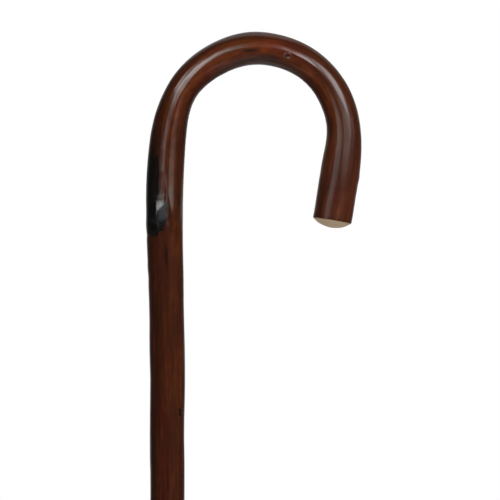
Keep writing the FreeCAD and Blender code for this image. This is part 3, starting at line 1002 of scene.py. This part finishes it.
# ==================================================================================================
# Studio, in metres. Lamps and camera are placed from the middle and the top of the stick.
# ==================================================================================================
scene = bpy.context.scene
scene.view_settings.view_transform = "Standard"
scene.view_settings.look = "None"
stick_low, stick_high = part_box("stick")
top = stick_high.z
mid_x = (stick_low.x + stick_high.x) / 2


def build_world():
    """White to the camera; to the stick a dim room with a brighter backdrop behind and over it."""
    world = bpy.data.worlds.new("studio")
    scene.world = world
    world.use_nodes = True
    n = Nodes(world.node_tree, "OutputWorld")
    _, y, z = n.split(n.coordinates("Generated"))
    rise = n.times(n.maths("MAXIMUM", z, 0.0), 0.35)
    backdrop = n.remap(n.plus(y, rise), span=(0.60, 0.98), to=(0.0, 0.30))

    def background(strength):
        node = n.new("Background")
        n.put(node.inputs["Color"], (1.0, 1.0, 1.0))
        n.put(node.inputs["Strength"], strength)
        return node.outputs[0]

    n.surface(n.mix_shader(n.camera_ray(), background(n.plus(backdrop, 0.045)), background(1.0)))


def softbox(name, at, aim, wide, tall, radiance, edge=0.0, roll=0.0):
    """An area lamp of a given radiance facing a point; its light falls off over the edge width."""
    lamp = bpy.data.lights.new(name, "AREA")
    lamp.shape = "RECTANGLE"
    lamp.size = wide
    lamp.size_y = tall
    lamp.energy = radiance * math.pi * wide * tall
    box = bpy.data.objects.new(name, lamp)
    box.location = at
    box.rotation_mode = "QUATERNION"
    box.rotation_quaternion = ((Vector(aim) - Vector(at)).to_track_quat("-Z", "Y")
                               @ Quaternion((0.0, 0.0, 1.0), math.radians(roll)))
    box.visible_camera = False
    scene.collection.objects.link(box)
    if edge:
        lamp.use_nodes = True
        n = Nodes(lamp.node_tree)
        emission = next(node for node in n.tree.nodes if node.type == "EMISSION")
        here = n.new("NewGeometry").outputs["Position"]
        fall = 1.0
        for axis, half in ((Vector((1, 0, 0)), wide / 2), (Vector((0, 1, 0)), tall / 2)):
            axis = box.rotation_quaternion @ axis
            along = n.vector("DOT_PRODUCT", here, axis, output="Value")
            off = n.maths("ABSOLUTE", n.maths("SUBTRACT", along, axis.dot(Vector(at))))
            fall = n.times(fall, n.remap(off, span=(half - edge, half), to=(1.0, 0.0)))
        n.put(emission.inputs["Strength"], fall)
    return box


def build_lamps():
    # close in front of the crook, facing straight back: one to each side, a tongue that the right
    # one sends over the top, and a weak skirt under each
    # name, x from the middle, z from the top, width, height, roll in degrees, radiance, edge
    for name, x, z, wide, tall, roll, radiance, edge in (
            ("box_left", -0.151, 0.103, 0.322, 0.180, -32.0, 7.4, 0.088),
            ("box_right", 0.362, 0.150, 0.430, 0.285, 0.0, 5.8, 0.100),
            ("tongue_right", 0.150, 0.160, 0.084, 0.265, -42.0, 7.8, 0.028),
            ("skirt_right", 0.240, -0.008, 0.360, 0.180, 0.0, 2.2, 0.085),
            ("skirt_left", -0.172, -0.040, 0.270, 0.160, 0.0, 1.65, 0.075)):
        at = (mid_x + x, -0.30, top + z)
        softbox(name, at, (at[0], 0.0, at[2]), wide, tall, radiance, edge, roll)

    # behind and over the stick, then low in front for the shaft
    # name, place, aim, width, height, radiance, edge
    for settings in (
            ("back_high", (mid_x, 0.85, top - 0.02), (mid_x, 0.0, top - 0.02),
             0.22, 0.26, 3.0, 0.08),
            ("over", (mid_x, 0.30, top + 0.85), (mid_x, 0.0, top), 0.9, 0.5, 0.5, 0.18),
            ("shaft_left", (mid_x - 0.42, -0.42, 0.27), (0.0, 0.0, 0.27), 0.16, 0.42, 0.7, 0.06),
            ("shaft_right", (mid_x + 0.38, -0.50, 0.27), (0.0, 0.0, 0.27), 0.20, 0.42, 0.7, 0.06)):
        softbox(*settings)

    # broad fills that light the colour of the wood and stay out of its gloss
    # name, place, width, height, radiance
    for name, at, wide, tall, radiance in (
            ("fill_right", (mid_x + 1.05, -0.75, top - 0.15), 0.7, 0.9, 1.7),
            ("fill_left", (mid_x - 0.9, -0.80, top - 0.20), 0.5, 0.9, 0.25),
            ("fill_low", (mid_x + 0.06, -0.35, top - 0.45), 0.3, 0.2, 1.7),
            ("fill_back", (mid_x - 0.3, 1.1, top + 0.2), 0.9, 0.9, 2.4),
            ("fill_back_low", (mid_x - 0.2, 0.9, 0.30), 0.9, 0.5, 2.6),
            ("fill_shaft_low", (mid_x + 0.2, -0.55, 0.24), 0.6, 0.40, 1.6)):
        aim_z = at[2] if "low" in name else top - 0.15
        fill = softbox(name, at, (mid_x, 0.0, aim_z), wide, tall, radiance)
        fill.visible_glossy = False


def floor_material():
    """Pale, fading out into the white round it; the camera sees it paler than it lights."""
    material, n = new_material("pale_floor")
    place = n.coordinates()
    fade = n.remap(n.length(place), span=(0.22, 1.25))
    camera_ray = n.camera_ray()
    lighting = n.mix(n.noise(place, (9, 9, 9)), (0.50, 0.50, 0.495), (0.53, 0.53, 0.525))
    diffuse = n.new("BsdfDiffuse")
    n.put(diffuse.inputs["Color"], n.mix(camera_ray, lighting, (0.30, 0.30, 0.298)))
    glow = n.new("Emission")
    n.put(glow.inputs["Strength"], n.times(camera_ray, 0.70))
    both = n.new("AddShader")
    n.put(both.inputs[0], diffuse.outputs[0])
    n.put(both.inputs[1], glow.outputs[0])
    n.surface(n.mix_shader(fade, both.outputs[0], n.new("BsdfTransparent").outputs[0]))
    return material


def build_floor():
    """A disc of rings that widen outwards."""
    around, rings, radius = 96, 40, 1.6
    verts = [(0.0, 0.0, 0.0)]
    for i in range(rings):
        reach = radius * ((i + 1) / rings) ** 1.5
        verts += [(reach * math.cos(TAU * j / around), reach * math.sin(TAU * j / around), 0.0)
                  for j in range(around)]
    faces = [(0, 1 + j, 1 + (j + 1) % around) for j in range(around)]
    for i in range(rings - 1):
        for j in range(around):
            here = 1 + i * around + j
            beside = 1 + i * around + (j + 1) % around
            faces.append((here, here + around, beside + around, beside))
    mesh = bpy.data.meshes.new("floor")
    mesh.from_pydata(verts, [], faces)
    floor = bpy.data.objects.new("floor", mesh)
    floor.location.z = cad_low.z - 0.0002
    scene.collection.objects.link(floor)
    mesh.materials.append(floor_material())
    return floor


def build_camera():
    distance, field_width = 1.5, 0.300
    lens = bpy.data.cameras.new("camera")
    camera = bpy.data.objects.new("camera", lens)
    scene.collection.objects.link(camera)
    lens.sensor_width = 36.0
    lens.lens = lens.sensor_width * distance / field_width
    lens.clip_start = 0.05
    lens.clip_end = 60.0
    camera.location = (mid_x - 0.00225, -distance, top - 0.13080)
    camera.rotation_euler = (math.radians(90), 0.0, 0.0)
    scene.camera = camera


build_world()
build_lamps()
floor = build_floor()
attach(floor, "ferrule")                # the ferrule stays on it when the stick is pulled out
build_camera()
